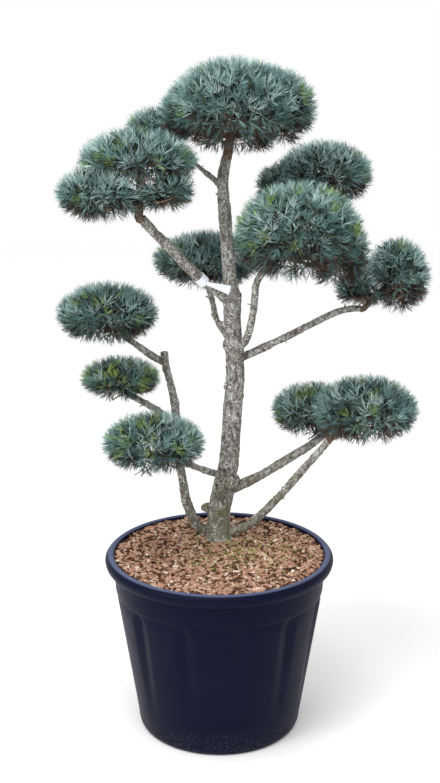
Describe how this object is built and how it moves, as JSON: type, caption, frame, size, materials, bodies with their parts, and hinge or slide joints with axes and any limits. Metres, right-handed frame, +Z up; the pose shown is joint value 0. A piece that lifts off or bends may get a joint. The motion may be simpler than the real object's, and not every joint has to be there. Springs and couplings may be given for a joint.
{
  "type": "cloud-pruned japanese white pine in a nursery pot",
  "caption": "Cloud-pruned Japanese white pine with bare trunk and boughs ending in rounded pads of blue-green needles, standing in a fluted black nursery pot of bark mulch.",
  "frame": {"origin": "centre of the pot's flat underside, on the ground", "axes": "+Z up along the trunk; -Y is the side seen in the picture; +X is to the viewer's right"},
  "size_m": [0.9938, 0.7417, 1.7898],
  "materials": {
    "pot_plastic": "satin",
    "bark_mulch": "matte",
    "bark": "matte",
    "needles": "matte",
    "tag_plastic": "satin"
  },
  "bodies": {
    "root": {"pot": "pot_plastic", "potting_soil": "bark_mulch", "trunk": "bark", "left_stem": "bark", "bough_low_right_front": "bark", "bough_low_right_back": "bark", "bough_low_left": "bark", "bough_left_small": "bark", "bough_left_upper": "bark", "bough_far_right": "bark", "bough_front_right": "bark", "bough_back": "bark", "bough_upper_left": "bark", "bough_right_back": "bark", "bough_upper_back": "bark", "foliage_top": "needles", "foliage_upper_left": "needles", "foliage_upper_back": "needles", "foliage_right_back": "needles", "foliage_front_right": "needles", "foliage_far_right": "needles", "foliage_back": "needles", "foliage_left_upper": "needles", "foliage_left_small": "needles", "foliage_low_left": "needles", "foliage_low_right_back": "needles", "foliage_low_right_front": "needles", "plant_tag": "tag_plastic"}
  },
  "joints": []
}
